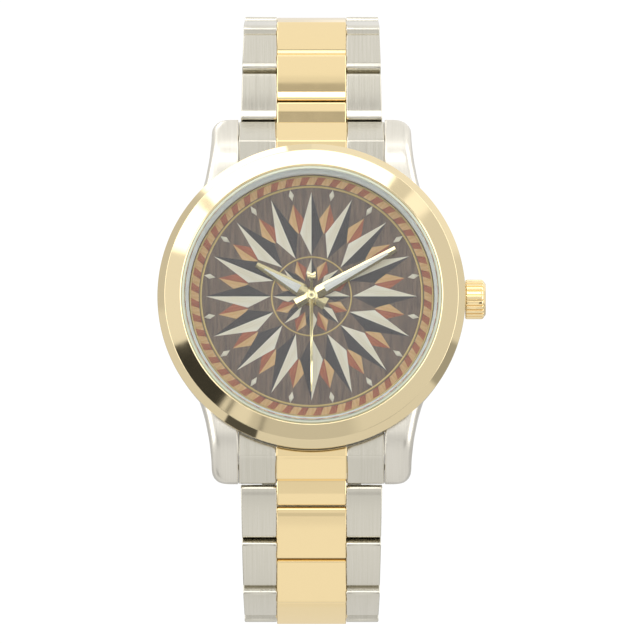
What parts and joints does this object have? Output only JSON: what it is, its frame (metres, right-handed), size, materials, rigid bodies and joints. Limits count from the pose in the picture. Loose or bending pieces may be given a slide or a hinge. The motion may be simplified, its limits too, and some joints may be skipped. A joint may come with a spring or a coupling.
{
  "type": "wristwatch",
  "caption": "Round analogue wristwatch with a polished gold-tone bezel, hands and knurled crown on a two-tone steel link bracelet with a folding clasp.",
  "frame": {"origin": "centre of the case back's flat outer face", "axes": "+Z towards 12 o'clock, +X towards the crown at 3 o'clock, the dial faces -Y"},
  "size_m": [0.0447, 0.046, 0.0838],
  "materials": {
    "brushed_steel": "lengthwise brushed",
    "satin_steel": "satin",
    "plain_steel": "turned",
    "gold_tone": "polished, gold tone",
    "gold_hands": "polished, gold tone",
    "crystal": "clear",
    "black_rubber": "plain",
    "pale_plastic": "moulded",
    "silver_flange": "silvered",
    "dial_finish": null,
    "wheel_brass": "stamped"
  },
  "bodies": {
    "case": {"case_middle": "brushed_steel", "bezel": "gold_tone", "crystal": "crystal", "crystal_gasket": "pale_plastic", "flange_ring": "silver_flange", "dial": "dial_finish", "movement_holder": "pale_plastic", "movement_module": "wheel_brass", "battery": "plain_steel", "case_back": "satin_steel", "case_back_gasket": "black_rubber", "crown_tube": "plain_steel", "spring_bar_12": "plain_steel", "spring_bar_6": "plain_steel", "end_link_12": "brushed_steel", "end_center_12": "gold_tone", "end_link_6": "brushed_steel", "end_center_6": "gold_tone"},
    "second": {"second_hand": "gold_hands", "second_arbor": "plain_steel"},
    "minute": {"minute_hand": "gold_hands", "cannon_pinion": "plain_steel"},
    "motion_wheel": {"minute_wheel": "wheel_brass"},
    "hour": {"hour_hand": "gold_hands", "hour_wheel": "wheel_brass"},
    "lever": {"setting_lever": "plain_steel"},
    "crown_and_stem": {"crown": "gold_tone", "winding_stem": "plain_steel"},
    "row_12_1": {"link_12_1_outer": "brushed_steel", "link_12_1_center": "gold_tone"},
    "row_12_2": {"link_12_2_outer": "brushed_steel", "link_12_2_center": "gold_tone"},
    "row_12_3": {"link_12_3_outer": "brushed_steel", "link_12_3_center": "gold_tone"},
    "row_12_4": {"link_12_4_outer": "brushed_steel", "link_12_4_center": "gold_tone"},
    "row_12_5": {"link_12_5_outer": "brushed_steel", "link_12_5_center": "gold_tone"},
    "row_12_6": {"link_12_6_outer": "brushed_steel", "link_12_6_center": "gold_tone"},
    "row_12_7": {"link_12_7_outer": "brushed_steel", "link_12_7_center": "gold_tone"},
    "row_6_1": {"link_6_1_outer": "brushed_steel", "link_6_1_center": "gold_tone"},
    "row_6_2": {"link_6_2_outer": "brushed_steel", "link_6_2_center": "gold_tone"},
    "row_6_3": {"link_6_3_outer": "brushed_steel", "link_6_3_center": "gold_tone"},
    "row_6_4": {"link_6_4_outer": "brushed_steel", "link_6_4_center": "gold_tone"},
    "row_6_5": {"link_6_5_outer": "brushed_steel", "link_6_5_center": "gold_tone"},
    "row_6_6": {"link_6_6_outer": "brushed_steel", "link_6_6_center": "gold_tone"},
    "row_6_7": {"link_6_7_outer": "brushed_steel", "link_6_7_center": "gold_tone", "clasp_spring_bar": "plain_steel"},
    "cover": {"clasp_cover": "satin_steel"},
    "outer_blade": {"clasp_outer_blade": "plain_steel"},
    "inner_blade": {"clasp_inner_blade": "plain_steel"}
  },
  "joints": [
    {"name": "minute_spin", "type": "hinge", "parent": "case", "child": "minute", "pos_m": [0, 0, 0], "axis": [0, 1, 0], "continuous": true},
    {"name": "wheel_spin", "type": "hinge", "parent": "case", "child": "motion_wheel", "pos_m": [-0.0036, 0, 0], "axis": [0, 1, 0], "continuous": true},
    {"name": "hour_spin", "type": "hinge", "parent": "case", "child": "hour", "pos_m": [0, 0, 0], "axis": [0, 1, 0], "continuous": true},
    {"name": "second_spin", "type": "hinge", "parent": "case", "child": "second", "pos_m": [0, 0, 0], "axis": [0, 1, 0], "continuous": true},
    {"name": "crown_pull", "type": "slide", "parent": "case", "child": "lever", "axis": [1, 0, 0], "range_m": [0, 0.001]},
    {"name": "crown_spin", "type": "hinge", "parent": "lever", "child": "crown_and_stem", "pos_m": [0, -0.0041, 0], "axis": [1, 0, 0], "continuous": true},
    {"name": "pivot_12_1", "type": "hinge", "parent": "case", "child": "row_12_1", "pos_m": [0, 0.0002, 0.0263], "axis": [1, 0, 0], "range_deg": [0, 10.55]},
    {"name": "pivot_12_2", "type": "hinge", "parent": "row_12_1", "child": "row_12_2", "pos_m": [0, 0.00251, 0.03317], "axis": [1, 0, 0], "range_deg": [0, 24.64]},
    {"name": "pivot_12_3", "type": "hinge", "parent": "row_12_2", "child": "row_12_3", "pos_m": [0, 0.00747, 0.03846], "axis": [1, 0, 0], "range_deg": [0, 30.5]},
    {"name": "pivot_12_4", "type": "hinge", "parent": "row_12_3", "child": "row_12_4", "pos_m": [0, 0.01443, 0.04049], "axis": [1, 0, 0], "range_deg": [0, 29.05]},
    {"name": "pivot_12_5", "type": "hinge", "parent": "row_12_4", "child": "row_12_5", "pos_m": [0, 0.0215, 0.03889], "axis": [1, 0, 0], "range_deg": [0, 26.65]},
    {"name": "pivot_12_6", "type": "hinge", "parent": "row_12_5", "child": "row_12_6", "pos_m": [0, 0.0271, 0.03429], "axis": [1, 0, 0], "range_deg": [0, 20.51]},
    {"name": "pivot_12_7", "type": "hinge", "parent": "row_12_6", "child": "row_12_7", "pos_m": [0, 0.03073, 0.02802], "axis": [1, 0, 0], "range_deg": [0, 15.54]},
    {"name": "pivot_6_1", "type": "hinge", "parent": "case", "child": "row_6_1", "pos_m": [0, 0.0002, -0.0263], "axis": [-1, 0, 0], "range_deg": [0, 10.55]},
    {"name": "pivot_6_2", "type": "hinge", "parent": "row_6_1", "child": "row_6_2", "pos_m": [0, 0.00251, -0.03317], "axis": [-1, 0, 0], "range_deg": [0, 24.64]},
    {"name": "pivot_6_3", "type": "hinge", "parent": "row_6_2", "child": "row_6_3", "pos_m": [0, 0.00747, -0.03846], "axis": [-1, 0, 0], "range_deg": [0, 30.5]},
    {"name": "pivot_6_4", "type": "hinge", "parent": "row_6_3", "child": "row_6_4", "pos_m": [0, 0.01443, -0.04049], "axis": [-1, 0, 0], "range_deg": [0, 29.05]},
    {"name": "pivot_6_5", "type": "hinge", "parent": "row_6_4", "child": "row_6_5", "pos_m": [0, 0.0215, -0.03889], "axis": [-1, 0, 0], "range_deg": [0, 26.65]},
    {"name": "pivot_6_6", "type": "hinge", "parent": "row_6_5", "child": "row_6_6", "pos_m": [0, 0.0271, -0.03429], "axis": [-1, 0, 0], "range_deg": [0, 20.51]},
    {"name": "pivot_6_7", "type": "hinge", "parent": "row_6_6", "child": "row_6_7", "pos_m": [0, 0.03073, -0.02802], "axis": [-1, 0, 0], "range_deg": [0, 15.54]},
    {"name": "cover_pivot", "type": "hinge", "parent": "row_12_7", "child": "cover", "pos_m": [0, 0.03255, 0.021], "axis": [1, 0, 0], "range_deg": [0, 5.82]},
    {"name": "clasp_fold", "type": "hinge", "parent": "cover", "child": "outer_blade", "pos_m": [0, 0.03397, -0.01694], "axis": [1, 0, 0], "range_deg": [0, 40]},
    {"name": "blade_fold", "type": "hinge", "parent": "outer_blade", "child": "inner_blade", "pos_m": [0, 0.03334, 0.01636], "axis": [-1, 0, 0], "range_deg": [0, 40]}
  ],
  "couplings": [
    {"joint": "wheel_spin", "follows": "minute_spin", "ratio": -0.33333},
    {"joint": "hour_spin", "follows": "minute_spin", "ratio": 0.083333}
  ]
}
